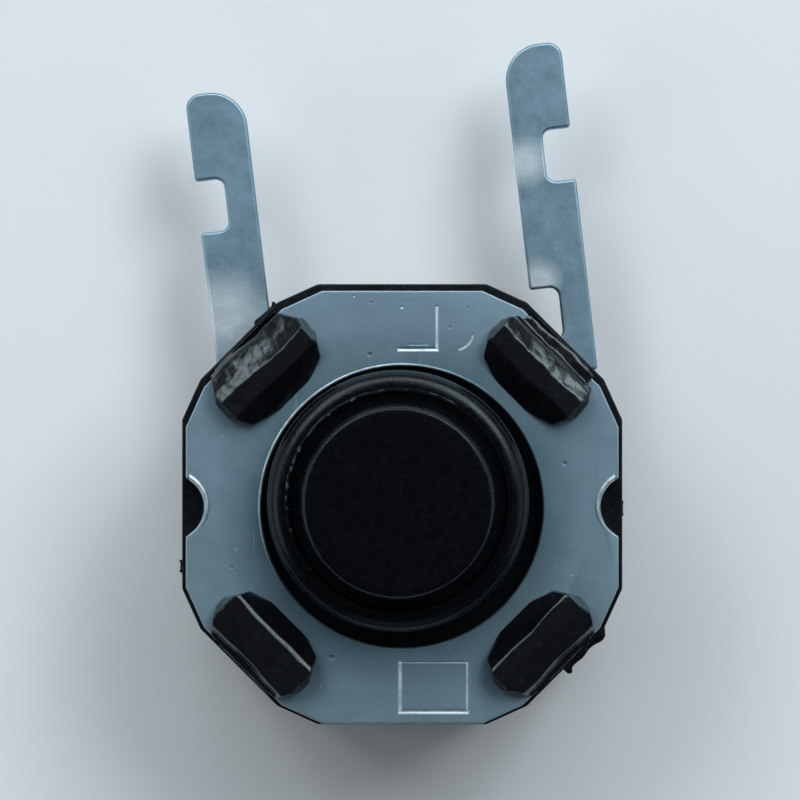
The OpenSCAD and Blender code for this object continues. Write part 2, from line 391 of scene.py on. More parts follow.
def cover_finish(name, colour, roughness):
    """Rolled and stamped sheet: fine matt grain, cloudy tone, hairline scratches and pits, with painted shade
    round the hole and beside the heads and a painted highlight on its rolled edges, burrs and stamped lines.
    """
    mat = Finish(name, roughness, metallic=1.0)
    cloud = mat.noise(1.1, detail=5.0, roughness=0.62)
    grain = mat.noise(38.0, detail=3.0, roughness=0.7)
    long_lines = mat.noise(7.0, detail=5.0, roughness=0.75, stretch=(1.0, 0.05, 1.0), turn=(0, 0, 24))
    cross_lines = mat.noise(6.0, detail=5.0, roughness=0.75, stretch=(0.06, 1.0, 1.0), turn=(0, 0, 38))
    scratch = mat.maths("MAXIMUM", mat.ramp(long_lines, (0.66, 0.0), (0.69, 1.0)),
                        mat.ramp(cross_lines, (0.68, 0.0), (0.71, 1.0)))
    pits = mat.ramp(mat.cells(1.9), (0.035, 1.0), (0.075, 0.0))
    nicks = mat.ramp(mat.cells(1.5, shift=(3.4, 1.7, 0.0)), (0.025, 1.0), (0.06, 0.0))
    # Painted shade: the sheet darker round the button's hole and beside the heads, where the button and the
    # heads shade it
    painted_shade = mat.patch(0, 0, HOLE_SHADE_REACH)
    for x, y, reach in HEAD_SHADE_SPOTS:
        painted_shade = mat.maths("MAXIMUM", painted_shade, mat.patch(x, y, reach, edge=0.8))
    painted_shade = mat.maths("MULTIPLY", painted_shade, cloud)
    base = mat.blend(cloud, tint(colour, 0.86), tint(colour, 1.12))
    base = mat.blend(painted_shade, base, tint(SHADE_COLOUR))
    base = mat.blend(mat.maths("MULTIPLY", scratch, 0.35), base, tint(colour, 1.45))
    base = mat.blend(mat.maths("MULTIPLY", nicks, 0.6), base, tint(colour, 1.7))
    # Painted highlight: the sheet made lighter by height on its rolled edges, its burrs and the floors of its
    # stamped lines
    height = mat.node("ShaderNodeSeparateXYZ", Vector=mat.coords()).outputs["Z"]
    low, high = EDGE_HIGHLIGHT_LEVELS[0][0], EDGE_HIGHLIGHT_LEVELS[-1][0]
    level = mat.node("ShaderNodeMapRange", Value=height, From_Min=COVER_TOP + low,
                     From_Max=COVER_TOP + high).outputs["Result"]
    edge_highlight = mat.ramp(level, *(((z - low) / (high - low), share) for z, share in EDGE_HIGHLIGHT_LEVELS))
    uneven = mat.ramp(mat.noise(7.0, detail=3.0, shift=(4, 4, 1)), (0.30, 0.35), (0.60, 0.95))
    base = mat.blend(mat.maths("MULTIPLY", edge_highlight, uneven), base, tint(EDGE_HIGHLIGHT))
    mat.colour(mat.blend(mat.maths("MULTIPLY", pits, 0.6), base, tint(colour, 0.3)))
    mat.gloss(mat.between(mat.noise(4.0, detail=5.0, roughness=0.6), roughness - 0.08, roughness + 0.1))
    mat.relief((grain, 0.0016), (scratch, -0.002), (pits, -0.006), (cloud, 0.006))
    return mat.material


# Spots in millimetres where highlights are painted on the leads, with their middle and reach, and their
# colour
LEAD_HIGHLIGHT_SPOTS = [(-2.50, 2.60, 0.75), (1.93, 3.10, 0.35), (1.72, 4.75, 0.4)]
LEAD_HIGHLIGHT = (0.70, 0.80, 0.86)


def lead_finish(name, colour, roughness):
    """Plated strip: dull satin with mottled tone, faint lengthwise drawing lines and painted highlights in a
    few spots.
    """
    mat = Finish(name, roughness, metallic=1.0)
    mottle = mat.noise(2.4, detail=6.0, roughness=0.68)
    lines = mat.noise(22.0, detail=3.0, roughness=0.6, stretch=(1.0, 0.07, 1.0), turn=(0, 0, -7))
    stain = mat.ramp(mat.noise(4.5, detail=4.0, roughness=0.7, shift=(3, 2, 9)), (0.50, 0.0), (0.72, 1.0))
    base = mat.blend(mottle, tint(colour, 0.84), tint(colour, 1.18))
    base = mat.blend(mat.maths("MULTIPLY", stain, 0.3), base, tint(colour, 0.6))
    # Painted highlights: a few spots of the leads made bright, where they would catch the light
    for x, y, reach in LEAD_HIGHLIGHT_SPOTS:
        base = mat.blend(mat.patch(x, y, reach, edge=0.7), base, tint(LEAD_HIGHLIGHT))
    mat.colour(base)
    mat.gloss(mat.between(mottle, roughness - 0.10, roughness + 0.12))
    mat.relief((lines, 0.002), (mottle, 0.006))
    return mat.material


def spring_finish(name, colour, roughness):
    """Bright rolled spring sheet with a fine rolling grain."""
    mat = Finish(name, roughness, metallic=1.0)
    lines = mat.noise(30.0, detail=2.0, stretch=(1.0, 0.04, 1.0))
    mat.colour(mat.blend(lines, tint(colour, 0.9), tint(colour, 1.1)))
    mat.gloss(mat.between(lines, roughness - 0.05, roughness + 0.08))
    mat.relief((lines, 0.0008))
    return mat.material


def floor_finish(name, colour):
    """A plain pale sheet with a barely seen tooth."""
    mat = Finish(name, 0.85, specular=0.2)
    tooth = mat.noise(0.6, detail=4.0)
    mat.colour(mat.blend(tooth, tint(colour, 0.985), tint(colour, 1.01)))
    mat.relief((tooth, 0.004))
    return mat.material


# ---- settings ----


def length(name, description, millimetres):
    """A size property that is shown in metres and given here in millimetres."""
    return FloatProperty(name=name, description=description, default=millimetres * MM, min=0.0,
                         unit="LENGTH", subtype="DISTANCE", precision=6)


def paint(name, description, colour):
    """A colour property."""
    return FloatVectorProperty(name=name, description=description, default=colour, size=3, min=0.0, max=1.0,
                               subtype="COLOR")


def tilt(name, description, degrees):
    """An angle property, given here in degrees."""
    return FloatProperty(name=name, description=description, default=math.radians(degrees), unit="ROTATION")


def coordinate(name, description, millimetres):
    """A coordinate property, given here in millimetres."""
    return FloatProperty(name=name, description=description, default=millimetres * MM, unit="LENGTH")


def lamp_power(name, description, watts):
    """A lamp's power."""
    return FloatProperty(name=name, description=description, default=watts, unit="POWER")


class HousingSettings(bpy.types.PropertyGroup):
    corner_long: length("Corner start", "Distance from the corner at which the outline starts to turn", 1.85)
    corner_mid: length("Facet start", "Distance from the corner at which the middle facet starts", 1.30)
    corner_drop: length("Facet drop", "How far the middle facet's ends stand back from the sides", 0.25)
    chamber_gap: length("Chamber gap", "Gap between the dome's rim and the chamber's wall", 0.30)
    edge_round: length("Edge rounding", "Rounding of the moulding's edges", 0.045)
    draft: length("Draft", "How much the moulding narrows towards its underside", 0.05)
    colour: paint("Colour", "Colour of the black plastic", (0.0035, 0.0033, 0.0045))


class StakeSettings(bpy.types.PropertyGroup):
    head_length: length("Head length", "Length of each melted head along its corner", 1.64)
    ledge: length("Ledge", "Distance from the middle to the head's outer wall", 3.07)
    ledge_height: length("Ledge height", "Height of the head's outer step above the cover", 0.05)
    bevel_in: length("Bevel top", "Distance from the middle to the top of the outer bevel", 2.68)
    ridge: length("Ridge", "Distance from the middle to the ridge over the inner slope", 2.43)
    grain: length("Roughness", "Height of the melted plastic's ripples", 0.0075)


class CoverSettings(bpy.types.PropertyGroup):
    hole_radius: length("Hole radius", "Radius of the hole round the button", 1.915)
    notch_radius: length("Notch radius", "Radius of the notch in each side", 0.44)
    notch_depth: length("Notch depth", "Depth of the notch in each side", 0.25)
    edge_roll: length("Edge roll", "Rounding that the punch leaves on the upper edges", 0.05)
    line_width: length("Mark width", "Width of the stamped line", 0.12)
    line_depth: length("Mark depth", "Depth of the stamped line", 0.014)
    # The sheet's colour holds a painted blue cast, reflected light from a blue surround, over neutral grey
    # steel
    colour: paint("Colour", "Colour of the sheet metal", (0.25, 0.36, 0.44))


class ButtonSettings(bpy.types.PropertyGroup):
    stem_radius: length("Stem radius", "Radius of the stem where it leaves the cover", 1.77)
    shoulder_height: length("Shoulder height", "Height of the shoulder above the cover", 0.60)
    shoulder_round: length("Shoulder rounding", "Rounding of the shoulder's edge", 0.24)
    lip_width: length("Lip width", "Width of the moulding lip on the shoulder's inner edge", 0.045)
    cone_land: length("Ring width", "Width of the sunken ring between the lip and the cone", 0.135)
    ring_depth: length("Ring depth", "Depth of the sunken ring below the shoulder", 0.10)
    cone_taper: length("Cone taper", "How much the cone narrows on its radius", 0.085)
    top_round: length("Top rounding", "Rounding of the top's edge", 0.04)
    lip_height: length("Lip height", "Height of the moulding lip at its highest", 0.07)
    colour: paint("Colour", "Colour of the button's plastic", (0.0008, 0.0008, 0.0018))


class DomeSettings(bpy.types.PropertyGroup):
    sheet: length("Sheet", "Thickness of the dome's sheet", 0.08)
    colour: paint("Colour", "Colour of the spring sheet", (0.62, 0.60, 0.56))


class LeadSettings(bpy.types.PropertyGroup):
    width: length("Width", "Width of the lead strip", 0.82)
    pitch: length("Pitch", "Distance between the leads at the housing", 4.5)
    right_length: length("Right length", "Length of the right lead from its root inside the wall", 3.92)
    left_length: length("Left length", "Length of the left lead from its root inside the wall", 3.25)
    right_lean: tilt("Right lean", "Lean of the right lead towards -X", 6.5)
    left_lean: tilt("Left lean", "Lean of the left lead towards -X", 6.8)
    cut_length: length("Notch length", "Length of each notch along the strip", 0.73)
    cut_depth: length("Notch depth", "Depth of each notch", 0.40)
    outer_cut: length("Outer notch", "Distance from the tip to the notch in the outer edge", 1.21)
    inner_cut: length("Inner notch", "Distance from the tip to the notch in the inner edge", 3.41)
    inner_round: length("Inner tip rounding", "Rounding of the tip's inner corner", 0.50)
    outer_round: length("Outer tip rounding", "Rounding of the tip's outer corner", 0.20)
    edge_round: length("Edge rounding", "Rounding of the strip's long edges", 0.04)
    # The plating's colour holds a painted blue cast, reflected light from a blue surround, over grey plating
    colour: paint("Colour", "Colour of the plating", (0.27, 0.41, 0.51))


class StageSettings(bpy.types.PropertyGroup):
    floor_colour: paint("Floor colour", "Colour of the floor", (0.82, 0.84, 0.86))
    camera_height: length("Camera height", "Height of the camera above the cover", 72.0)
    camera_x: coordinate("Camera X", "Sideways place of the camera", -0.03)
    camera_y: coordinate("Camera Y", "Place of the camera towards the leads", 1.42)
    view_width: length("View width", "Width that the view takes in at the cover", 10.855)
    key_power: lamp_power("Key light", "Power of the light on the leads' side", 0.36)
    fill_power: lamp_power("Fill light", "Power that the fill lights take a share of", 0.055)
    sky: FloatProperty(name="Sky", description="Brightness of the light from all round", default=0.05)


SETTINGS = {
    "housing": HousingSettings,
    "stakes": StakeSettings,
    "cover": CoverSettings,
    "button": ButtonSettings,
    "dome": DomeSettings,
    "leads": LeadSettings,
    "stage": StageSettings,
}


class SwitchSettings(bpy.types.PropertyGroup):
    housing: PointerProperty(type=HousingSettings)
    stakes: PointerProperty(type=StakeSettings)
    cover: PointerProperty(type=CoverSettings)
    button: PointerProperty(type=ButtonSettings)
    dome: PointerProperty(type=DomeSettings)
    leads: PointerProperty(type=LeadSettings)
    stage: PointerProperty(type=StageSettings)


class Sizes:
    """A settings group's values, with its lengths in millimetres."""

    def __init__(self, group):
        for key, prop in group.bl_rna.properties.items():
            if key in ("rna_type", "name"):
                continue
            value = getattr(group, key)
            setattr(self, key, value / MM if prop.unit == "LENGTH" else value)


# ---- shapes shared by several pieces ----

CORNERS = [(1, 1), (-1, 1), (-1, -1), (1, -1)]


def trim_corners(obj, half, centre, sizes):
    """Cuts the three-facet corners of a square moulding or sheet."""
    points = [(half - sizes.corner_long, half), (half - sizes.corner_mid, half - sizes.corner_drop),
              (half - sizes.corner_drop, half - sizes.corner_mid), (half, half - sizes.corner_long)]
    for start, end in zip(points, points[1:]):
        outward = Vector((start[1] - end[1], end[0] - start[0], 0))
        for side_x, side_y in CORNERS:
            point = (centre[0] + side_x * start[0], centre[1] + side_y * start[1], 0)
            slice_off(obj, point, (side_x * outward.x, side_y * outward.y, 0))


def clamp(value):
    """A value kept between 0 and 1."""
    return max(0.0, min(1.0, value))


def hump(value, middle, width):
    """A bell curve that is 1 at its middle."""
    return math.exp(-((value - middle) / width) ** 2)


def corner_wall(sizes):
    """Distance from the middle to the middle facet of a corner."""
    return (2 * HALF - sizes.corner_mid - sizes.corner_drop) / math.sqrt(2)


def jitter(point, scale, amount, seed):
    """A small repeatable shift that varies smoothly over space."""
    spot = Vector(point) * scale + Vector((seed * 7.3, seed * 3.1, seed * 5.7))
    return noise.noise_vector(spot) * amount


# ---- pieces ----


# Slots for the button's keys: half width, gap at their ends, and rise of their floor over the button's foot
SLOT_HALF = 0.5
SLOT_GAP = 0.1
SLOT_FLOOR = 0.35

# Mark of the gate on the underside: place, radius and depth
GATE = (0.9, -1.1)
GATE_RADIUS = 0.55
GATE_DEPTH = 0.06

# Half length of the recess round a lead
POCKET_REACH = 0.9

# Levels of the flash below the cover, and how deep it is rooted in the wall
FLASH_LOW = 0.09
FLASH_HIGH = 0.035
FLASH_ROOT = 0.12

# Gap round each lead in the wall, and the height and half width of the parting line
POCKET_GAP = 0.06
PARTING_Z = 2.1
PARTING = 0.018

# Flash skins: name, angle of the wall, start and end along it, reach past it, seed
FLASHES = [
    ("flash_corner_low", 225, -0.76, 0.04, 0.13, 3),
    ("flash_corner_high", 45, 0.30, 0.72, 0.06, 8),
    ("flash_left", 90, -0.94, -0.76, 0.05, 5),
    ("flash_right", -90, -0.06, 0.16, 0.024, 11),
]


class SWITCH_OT_housing(bpy.types.Operator):
    """Build the moulded housing with its chamber and flash"""

    bl_idname = "switch.housing"
    bl_label = "Housing"

    def execute(self, context):
        sizes = Sizes(context.scene.switch.housing)
        leads = Sizes(context.scene.switch.leads)
        shell = add_block("housing_shell", (-HALF, -HALF, 0), (HALF, HALF, BASE_TOP))
        trim_corners(shell, HALF, (0, 0), sizes)
        self.taper(shell, sizes)
        chamber = add_rod("chamber", DOME_HIGH.x + sizes.chamber_gap, FLOOR_Z - 0.01, BASE_TOP + PAST)
        combine(shell, chamber)
        reach = BUTTON_HIGH.y - STEM_CENTRE.y + SLOT_GAP
        x, y = STEM_CENTRE
        slots = add_block("slots", (x - SLOT_HALF, y - reach, BUTTON_LOW.z + SLOT_FLOOR),
                          (x + SLOT_HALF, y + reach, BASE_TOP + PAST))
        combine(shell, slots)
        combine(shell, add_rod("gate", GATE_RADIUS, -PAST, GATE_DEPTH, GATE, sides=64))
        for side, lean in ((1, leads.right_lean), (-1, leads.left_lean)):
            combine(shell, self.lead_pocket(side, lean, leads, sizes))
        round_edges(shell, sizes.edge_round, 3, 15)
        self.parting_line(shell)
        finish = plastic_finish("housing_plastic", sizes.colour, 0.36, 0.21, 0.5)
        finish_piece(shell, finish, "base", "housing_plastic", "housing")
        self.flash(sizes, finish)
        return {"FINISHED"}

    def taper(self, shell, sizes):
        """Draws the walls in a little towards the underside, from the parting line down."""
        with editing(shell):
            bpy.ops.mesh.select_all(action="SELECT")
            bpy.ops.mesh.bisect(plane_co=(0, 0, FLOOR_Z), plane_no=(0, 0, 1), threshold=1e-5)
            pick(shell, "VERT", lambda v: v.co.z < 0.01)
            share = 1 - sizes.draft / HALF
            bpy.ops.transform.resize(value=(share, share, 1), center_override=(0, 0, 0))

    def lead_pocket(self, side, lean, leads, sizes):
        """The shallow recess in the corner wall that a lead comes out of."""
        wide = leads.width / 2 + POCKET_GAP
        pocket = add_block("pocket", (-wide, -POCKET_REACH, LEFT_LOW.z - POCKET_GAP),
                           (wide, POCKET_REACH, LEFT_HIGH.z + POCKET_GAP))
        place_piece(pocket, side * leads.pitch / 2, LEAD_ROOT, lean)
        facet = corner_wall(sizes) / math.sqrt(2) - POCKET_GAP
        slice_off(pocket, (side * facet, facet, 0), (-side, -1, 0))
        return pocket

    def parting_line(self, shell):
        """The fine raised line where the two halves of the mould met."""
        with editing(shell):
            for height in (-PARTING, 0, PARTING):
                bpy.ops.mesh.select_all(action="SELECT")
                bpy.ops.mesh.bisect(plane_co=(0, 0, PARTING_Z + height), plane_no=(0, 0, 1), threshold=1e-5)
            pick(shell, "VERT", lambda v: abs(v.co.z - PARTING_Z) < TOUCH and v.co.xy.length > HALF - 0.1)
            share = 1 + PARTING / HALF / 2
            bpy.ops.transform.resize(value=(share, share, 1), center_override=(0, 0, 0))

    def flash(self, sizes, finish):
        """Thin ragged skins of plastic that the mould has let out round the rim."""
        for name, angle, start, end, reach, seed in FLASHES:
            along = end - start
            wall = corner_wall(sizes) if angle % 90 else HALF
            skin = add_block(name, (start, wall - FLASH_ROOT, BASE_TOP - FLASH_LOW),
                             (end, wall + reach, BASE_TOP - FLASH_HIGH))
            with editing(skin, "EDGE"):
                pick(skin, "EDGE", lambda e: abs(e.verts[0].co.x - e.verts[1].co.x) > along * 0.5)
                bpy.ops.mesh.subdivide(number_cuts=24)
            for vertex in skin.data.vertices:
                if vertex.co.y > wall:
                    share = (vertex.co.x - start) / along
                    ragged = 0.18 * noise.noise(Vector((vertex.co.x * 6, seed, 0)))
                    hooks = 0.45 * hump(share, 0.94, 0.05) + 0.2 * hump(share, 0.15, 0.1)
                    full = min(1.0, max(0.06, 0.5 + ragged + hooks) * min(1.0, share / 0.08 + 0.1))
                    vertex.co.y -= reach * (1 - full)
            round_edges(skin, 0.012, 2, 40)
            place_piece(skin, 0, 0, math.radians(angle))
            finish_piece(skin, finish, "base", "housing_plastic")


# Tilts of the outer bevels and of the narrow facet along the ridge, and the share of its width that is cut
# beyond the ridge
BEVEL_TILT = math.radians(27)
RIDGE_TILT = math.radians(20)
RIDGE_SHARE = 0.78

# Where the untrimmed head starts, from the middle, and how far the heads' outlines wander
HEAD_INNER = 2.0
HEAD_BULGE = 0.035

# Cuts at both ends of a head. For the outer corner and the end of the top, the length along the head and the
# depth; for the two facets of the inner corner, where each starts and how far it runs across and along
OUTER_CUT = (0.21, 0.33)
TOP_CUT = (0.07, 0.20)
INNER_CUTS = [(0.25, 0.42, 0.25), (0.52, 0.10, 0.30)]

# Lean of the outer wall below the bevel
WALL_LEAN = 0.07

# The post under a head: half width, and where it starts and ends from the middle
POST_HALF = 0.5
POST_INNER = 2.6
POST_OUTER = 3.1

# Fineness of the heads' mesh in millimetres
VOXEL = 0.015

# Stakes: name, angle of the corner, where the inner slope and the outer bevel start, width of the ridge
# facet, how much steeper the outer bevel gets towards +X (or, below nought, towards -X), tearing, seed
STAKES = [
    ("stake_right_back", -45, 2.08, 2.87, 0.02, -0.12, 1.0, 1),
    ("stake_left_back", 45, 2.08, 3.03, 0.02, 0.28, 1.25, 6),
    ("stake_left_front", 135, 2.18, 2.97, 0.065, 0.0, 0.4, 3),
    ("stake_right_front", 225, 2.16, 2.97, 0.035, 0.0, 0.8, 4),
]


class SWITCH_OT_stakes(bpy.types.Operator):
    """Build the four posts with heads melted over the cover"""

    bl_idname = "switch.stakes"
    bl_label = "Stakes"

    def execute(self, context):
        sizes = Sizes(context.scene.switch.stakes)
        finish = self.finish(context.scene.switch.housing.colour)
        plain = self.head(sizes)
        for name, angle, inner, outer, facet, fall, tear, seed in STAKES:
            head = copy_piece(plain, name)
            self.profile(head, inner, outer, sizes)
            self.ledge(head, sizes)
            round_edges(head, 0.025, 2, 20)
            slice_off(head, (0, sizes.ridge + RIDGE_SHARE * facet, HOUSING_HIGH.z),
                      (0, -math.sin(RIDGE_TILT), math.cos(RIDGE_TILT)))
            self.roughen(head, sizes, fall, tear, seed)
            place_piece(head, 0, 0, math.radians(angle))
            finish_piece(head, finish, "base", "housing_plastic", smooth=75)
        bpy.data.objects.remove(plain, do_unlink=True)
        return {"FINISHED"}

    def head(self, sizes):
        """A loaf with cut corners, pointing out along +Y."""
        reach = sizes.head_length / 2
        low, high = COVER_TOP - 0.01, HOUSING_HIGH.z
        head = add_block("head", (-reach, HEAD_INNER, low), (reach, sizes.ledge, high))
        for side in (-1, 1):
            along, across = OUTER_CUT
            slice_off(head, (side * (reach - along), sizes.ledge, 0), (side * across, along, 0))
            along, across = TOP_CUT
            slice_off(head, (side * (reach - along), 0, high), (side * across, 0, along))
        return head

    def profile(self, head, inner, outer, sizes):
        """Cuts the inner slope, the outer bevel and the bulge of the inner edge."""
        high, ridge = HOUSING_HIGH.z, sizes.ridge
        rise = high - COVER_TOP
        reach = sizes.head_length / 2
        slice_off(head, (0, ridge, high), (0, -rise, ridge - inner))
        wide = outer - sizes.bevel_in
        drop = wide * math.tan(BEVEL_TILT)
        slice_off(head, (0, sizes.bevel_in, high), (0, drop, wide))
        slice_off(head, (0, outer, high - drop), (0, rise - drop, WALL_LEAN))
        for side in (-1, 1):
            for start, across, along in INNER_CUTS:
                slice_off(head, (side * (reach - start), inner, 0), (side * across, -along, 0))

    def ledge(self, head, sizes):
        """The low outer step of the head and the post that it grew from."""
        reach = sizes.head_length / 2 - OUTER_CUT[0]
        step = add_block("step", (-reach, sizes.ledge - 0.3, COVER_TOP - 0.3),
                         (reach, sizes.ledge, COVER_TOP + sizes.ledge_height))
        combine(head, step, "UNION")
        post = add_block("post", (-POST_HALF, POST_INNER, BASE_TOP - 0.05),
                         (POST_HALF, POST_OUTER, COVER_TOP + 0.03))
        combine(head, post, "UNION")

    def roughen(self, head, sizes, fall, tear, seed):
        """Remeshes the head finely, steepens its outer bevel towards one end and tears it."""
        take(head)
        remesh = head.modifiers.new("remesh", "REMESH")
        remesh.mode = "VOXEL"
        remesh.voxel_size = VOXEL
        bpy.ops.object.modifier_apply(modifier=remesh.name)
        smooth = head.modifiers.new("smooth", "SMOOTH")
        smooth.iterations = 3
        bpy.ops.object.modifier_apply(modifier=smooth.name)
        noise.seed_set(seed)
        for vertex in head.data.vertices:
            at = vertex.co
            if at.z < COVER_TOP + 0.02:
                continue
            outer = clamp((at.y - sizes.bevel_in + 0.1) / 0.15)
            end = clamp((abs(at.x) - 0.5) / 0.25)
            rough = 0.2 + tear * max(outer, end)
            coarse = jitter(at, 3.4, sizes.grain * (1.2 + rough), seed)
            middling = jitter(at, 7.5, sizes.grain * rough, seed + 2)
            fine = jitter(at, 21.0, sizes.grain * rough * 0.22, seed + 5)
            bulge = jitter(at, 1.7, HEAD_BULGE, seed + 9)
            bulge.z = 0
            shift = coarse + (middling + fine) + bulge
            steep = clamp(0.5 + math.copysign(2.0, fall) * at.x) if fall else 0.0
            shift.z -= abs(fall) * steep * max(0.0, at.y - sizes.bevel_in)
            shift.z = min(shift.z, HOUSING_HIGH.z - at.z)
            vertex.co = at + shift

    def finish(self, colour):
        """Melted plastic: glossy in places, torn and greyed in others."""
        mat = Finish("melted_plastic", 0.3, specular=0.62, cast=COOL)
        torn = mat.noise(8.0, detail=4.0, roughness=0.6)
        scuff = mat.ramp(torn, (0.55, 0.0), (0.72, 1.0))
        base = mat.blend(mat.noise(3.0), tint(colour, 0.7), tint(colour, 1.5))
        mat.colour(mat.blend(mat.maths("MULTIPLY", scuff, 0.25), base, tint(TORN_PLASTIC)))
        mat.gloss(mat.between(mat.noise(12.0, detail=4.0), 0.19, 0.31))
        mat.relief((mat.noise(42.0, detail=4.0, roughness=0.7), 0.0015), (torn, 0.0035))
        return mat.material


# Gap for each post: half width and where it starts from the middle
GAP_HALF = 0.54
GAP_INNER = 2.56

# Short arc mark: its middle and its radius, and the normals of the two cuts that end it
ARC = (0.72, 2.35, 0.255)
ARC_ENDS = [(0.12, 0.99, 0), (-0.99, -0.16, 0)]

# How much narrower a stamped line is at the bottom, in half widths, and how far above the sheet the middle
# of a ball that makes a dent lies, in radii
WEDGE = 1.9
DENT_LIFT = 0.86

# Small dents from handling and tooling: place and the radius of the ball that made each
DENTS = [(0.0, 2.68, 0.055), (-0.65, 2.83, 0.04), (2.30, -0.95, 0.03),
         (-2.45, 0.95, 0.035), (1.35, -1.55, 0.03), (-1.1, -2.45, 0.03)]

# Lean of the burrs, which lifts them on one side and sinks them on the other
BURR_TILT = math.radians(3.5)
HOLE_TILT = math.radians(0.55)

# Plain stamped lines, from end to end with their share of the full depth: a square at the front, an open
# corner at the back and a short scratch
MARK_LINES = [
    ((-0.03, -2.81), (0.88, -2.81), 1.15), ((-0.03, -2.14), (0.88, -2.14), 0.55),
    ((-0.03, -2.81), (-0.03, -2.14), 1.0), ((0.88, -2.81), (0.88, -2.14), 0.7),
    ((-0.04, 2.11), (0.47, 2.11), 1.1), ((0.47, 2.11), (0.47, 2.68), 0.9), ((0.10, 2.17), (0.34, 2.17), 0.4),
]


class SWITCH_OT_cover(bpy.types.Operator):
    """Build the stamped cover with its hole, notches and tool marks"""

    bl_idname = "switch.cover"
    bl_label = "Cover"

    def execute(self, context):
        sizes = Sizes(context.scene.switch.cover)
        outline = Sizes(context.scene.switch.housing)
        middle = (COVER_LOW + COVER_HIGH) / 2
        half = (COVER_HIGH.x - COVER_LOW.x) / 2
        plate = add_block("cover", COVER_LOW, COVER_HIGH)
        trim_corners(plate, half, middle, outline)
        for side in (-1, 1):
            centre = (side * (half + sizes.notch_radius - sizes.notch_depth), middle.y)
            self.punch(plate, sizes.notch_radius, centre, 128)
        self.punch(plate, sizes.hole_radius, (middle.x, middle.y), 256)
        for angle in (-45, 45, 135, 225):
            gap = add_block("gap", (-GAP_HALF, GAP_INNER, BASE_TOP - PAST),
                            (GAP_HALF, HALF + 2, COVER_TOP + PAST))
            place_piece(gap, 0, 0, math.radians(angle))
            combine(plate, gap)
        round_edges(plate, sizes.edge_roll, 8, 60)
        for side in (-1, 1):
            combine(plate, self.notch_burr(side, half, middle.y, sizes), "UNION")
        combine(plate, self.hole_burr(middle, sizes), "UNION")
        for low, high, share in MARK_LINES:
            combine(plate, self.line_mark(low, high, share * sizes.line_width / 2, share * sizes.line_depth))
        for x, y, radius in DENTS:
            combine(plate, self.dent(x, y, radius))
        combine(plate, self.arc_mark(sizes))
        finish = cover_finish("cover_metal", sizes.colour, 0.55)
        finish_piece(plate, finish, "base", "cover_metal", "cover_plate", smooth=15)
        return {"FINISHED"}

    def punch(self, plate, radius, centre, sides):
        """Cuts a round hole through the sheet."""
        combine(plate, add_rod("punch", radius, BASE_TOP - PAST, COVER_TOP + PAST, centre, sides=sides))

    def notch_burr(self, side, half, middle_y, sizes):
        """The rim that the punch has turned up round a side notch."""
        centre = (side * (half + sizes.notch_radius - sizes.notch_depth), middle_y, COVER_TOP - 0.022)
        burr = add_ring("burr", sizes.notch_radius + 0.035, 0.04, centre, (BURR_TILT, 0, 0), 96)
        inner, outer = side * (half - 0.05), side * (half - 1)
        keep = add_block("keep", (min(inner, outer), -PAST, 0), (max(inner, outer), PAST, BASE_TOP + PAST))
        combine(burr, keep, "INTERSECT")
        return burr

    def hole_burr(self, middle, sizes):
        """The faint rim that the punch has turned up on one side of the hole."""
        centre = (middle.x, middle.y, COVER_TOP - 0.024)
        return add_ring("burr", sizes.hole_radius + 0.024, 0.022, centre, (HOLE_TILT, HOLE_TILT, 0), 192)

    def line_mark(self, low, high, half, depth):
        """The wedge that presses one straight line into the sheet."""
        mark = add_block("mark", (low[0] - half, low[1] - half, COVER_TOP - depth),
                         (high[0] + half, high[1] + half, COVER_TOP + depth))
        with editing(mark):
            pick(mark, "VERT", lambda v: v.co.z < COVER_TOP)
            wide = Vector((high[0] - low[0] + 2 * half, high[1] - low[1] + 2 * half))
            share = [(w - WEDGE * half) / w for w in wide]
            bpy.ops.transform.resize(value=(share[0], share[1], 1),
                                     center_override=((low[0] + high[0]) / 2, (low[1] + high[1]) / 2, 0))
        return mark

    def dent(self, x, y, radius):
        """A ball that presses a small round dent into the sheet."""
        clear_selection()
        bpy.ops.mesh.primitive_uv_sphere_add(segments=48, ring_count=36, radius=radius,
                                             location=(x, y, COVER_TOP + radius * DENT_LIFT))
        return name_piece("ball")

    def arc_mark(self, sizes):
        """The tool that presses a short arc into the sheet."""
        x, y, radius = ARC
        half = sizes.line_width / 4
        depth = sizes.line_depth
        arc = add_rod("arc", radius + half, COVER_TOP - depth, COVER_TOP + depth, (x, y))
        core = add_rod("core", radius - half, COVER_TOP - PAST, COVER_TOP + PAST, (x, y))
        for tool, grow in ((arc, -1), (core, 0)):
            with editing(tool):
                pick(tool, "VERT", lambda v: v.co.z < COVER_TOP)
                share = 1 + grow * 0.9 * half / (radius + half)
                bpy.ops.transform.resize(value=(share, share, 1), center_override=(x, y, 0))
        combine(arc, core)
        for normal in ARC_ENDS:
            slice_off(arc, (x, y, 0), normal)
        return arc


# The flange: its gap below the cover, its depth and the half width of its keys; and the foot's radius
FLANGE_GAP = 0.03
FLANGE_DEPTH = 0.6
KEY_HALF = 0.4
FOOT_RADIUS = 0.7

# Height of the lip all round, the side where it is lowest in degrees, and how much it wanders
LIP_RISE = 0.035
LIP_LOW_SIDE = -18
LIP_WANDER = 0.012


